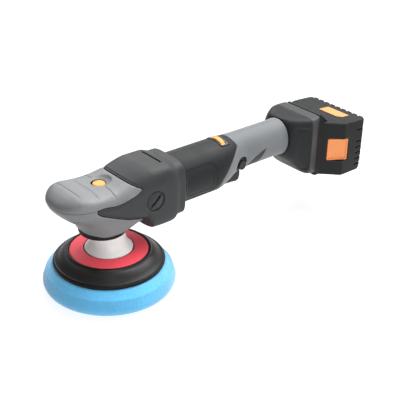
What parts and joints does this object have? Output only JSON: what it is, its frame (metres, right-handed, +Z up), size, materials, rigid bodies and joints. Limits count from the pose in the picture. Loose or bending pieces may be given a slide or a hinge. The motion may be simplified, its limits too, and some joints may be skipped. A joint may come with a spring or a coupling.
{
  "type": "dual action polisher",
  "caption": "Battery dual action polisher: foam pad on an eccentric spindle, bevel-gear head, tube motor handle with trigger and speed dial, and a slide-on battery pack.",
  "frame": {"origin": "axis of the drive spindle on the plane of the pad's work face", "axes": "+X from the head to the battery, +Z up out of the work face, +Y to the operator's right"},
  "size_m": [0.4396, 0.149, 0.14],
  "materials": {
    "foam": "open-cell foam",
    "hook": "hook tape",
    "plate_rubber": "moulded satin",
    "red_ring": "printed satin",
    "hub_metal": "turned",
    "steel": "machined",
    "bearing_steel": "polished",
    "cast": "as cast",
    "gear_steel": "oiled",
    "cast_alloy": "die cast",
    "dark_screw": "black oxide",
    "lamination": "stacked sheet",
    "dark_plastic": "moulded",
    "copper": "enamelled wire",
    "grey_shell": "fine texture",
    "skirt_rubber": "matte",
    "black_shell": "fine texture",
    "orange": "satin",
    "grey_grip": "soft touch",
    "board": "coated board",
    "black_trim": "satin",
    "wire": "insulation",
    "brass": "stamped",
    "battery_shell": "fine texture",
    "cell_wrap": "shrink wrap",
    "orange_button": "satin"
  },
  "bodies": {
    "output": {"foam_pad": "foam", "hook_face": "hook", "backing_plate": "plate_rubber", "plate_ring": "red_ring", "plate_hub": "hub_metal", "plate_bolt": "steel", "output_spindle": "steel"},
    "drive": {"eccentric_bearings": "bearing_steel", "drive_spindle": "steel", "counterweight": "cast", "ring_gear": "gear_steel"},
    "rotor": {"pinion_gear": "gear_steel", "rotor_shaft": "steel", "rotor_core": "lamination", "cooling_fan": "dark_plastic"},
    "spindle_lock": {"spindle_lock_button": "orange", "spindle_lock_pin": "steel"},
    "dial": {"speed_dial": "orange"},
    "trigger": {"trigger": "black_trim"},
    "lock": {"lock_button": "black_trim"},
    "release_left": {"release_button_left": "orange_button"},
    "release_right": {"release_button_right": "orange_button"},
    "battery": {"battery_front_case": "battery_shell", "battery_rear_case": "battery_shell", "battery_bumper": "skirt_rubber", "battery_cells": "cell_wrap", "cell_holder": "dark_plastic", "battery_board": "board", "battery_screws": "dark_screw"},
    "tool": {"gear_case": "cast_alloy", "bearing_retainer": "steel", "retainer_screws": "dark_screw", "spindle_lower_bearing": "bearing_steel", "spindle_upper_bearing": "bearing_steel", "pinion_bearing": "bearing_steel", "stator_core": "lamination", "stator_windings": "copper", "motor_rear_bracket": "dark_plastic", "motor_rear_bearing": "bearing_steel", "head_cover": "grey_shell", "head_lower_cover": "grey_shell", "head_skirt": "skirt_rubber", "front_housing": "black_shell", "side_plugs": "black_shell", "housing_screws": "dark_screw", "spindle_lock_spring": "steel", "handle_left": "black_shell", "handle_right": "black_shell", "grip_left": "grey_grip", "grip_right": "grey_grip", "grip_inlays": "dark_plastic", "handle_screws": "dark_screw", "dial_bezel": "grey_shell", "speed_control": "board", "trigger_pin": "steel", "switch_body": "dark_plastic", "control_module": "board", "wiring": "wire", "terminal_block": "dark_plastic", "terminal_blades": "brass"}
  },
  "joints": [
    {"name": "spindle_spin", "type": "hinge", "parent": "tool", "child": "drive", "pos_m": [0, 0, 0.105], "axis": [0, 0, 1], "continuous": true},
    {"name": "motor_spin", "type": "hinge", "parent": "tool", "child": "rotor", "pos_m": [0.06, 0, 0.105], "axis": [1, 0, 0], "continuous": true},
    {"name": "pad_spin", "type": "hinge", "parent": "drive", "child": "output", "pos_m": [0.0075, 0, 0.06], "axis": [0, 0, 1], "continuous": true},
    {"name": "trigger_pull", "type": "hinge", "parent": "tool", "child": "trigger", "pos_m": [0.168, 0, 0.0874], "axis": [0, -1, 0], "range_deg": [0, 7], "stiffness_Nm_per_rad": 3},
    {"name": "lock_press", "type": "slide", "parent": "tool", "child": "lock", "axis": [0, 1, 0], "range_m": [0, 0.003], "stiffness_N_per_m": 800},
    {"name": "dial_turn", "type": "hinge", "parent": "tool", "child": "dial", "pos_m": [0.1634, 0, 0.1172], "axis": [1, 0, 0], "range_deg": [-135, 135]},
    {"name": "spindle_lock_press", "type": "slide", "parent": "tool", "child": "spindle_lock", "axis": [0, 0, -1], "range_m": [0, 0.003], "stiffness_N_per_m": 900, "deforming": ["spindle_lock_spring"]},
    {"name": "battery_slide", "type": "slide", "parent": "tool", "child": "battery", "axis": [0, 0, 1], "range_m": [0, 0.06]},
    {"name": "release_left_press", "type": "hinge", "parent": "battery", "child": "release_left", "pos_m": [0.34158, -0.04494, 0.0875], "axis": [0, 0, -1], "range_deg": [0, 5], "stiffness_Nm_per_rad": 2},
    {"name": "release_right_press", "type": "hinge", "parent": "battery", "child": "release_right", "pos_m": [0.34158, 0.04494, 0.0875], "axis": [0, 0, 1], "range_deg": [0, 5], "stiffness_Nm_per_rad": 2}
  ],
  "couplings": [
    {"joint": "motor_spin", "follows": "spindle_spin", "ratio": 3}
  ]
}
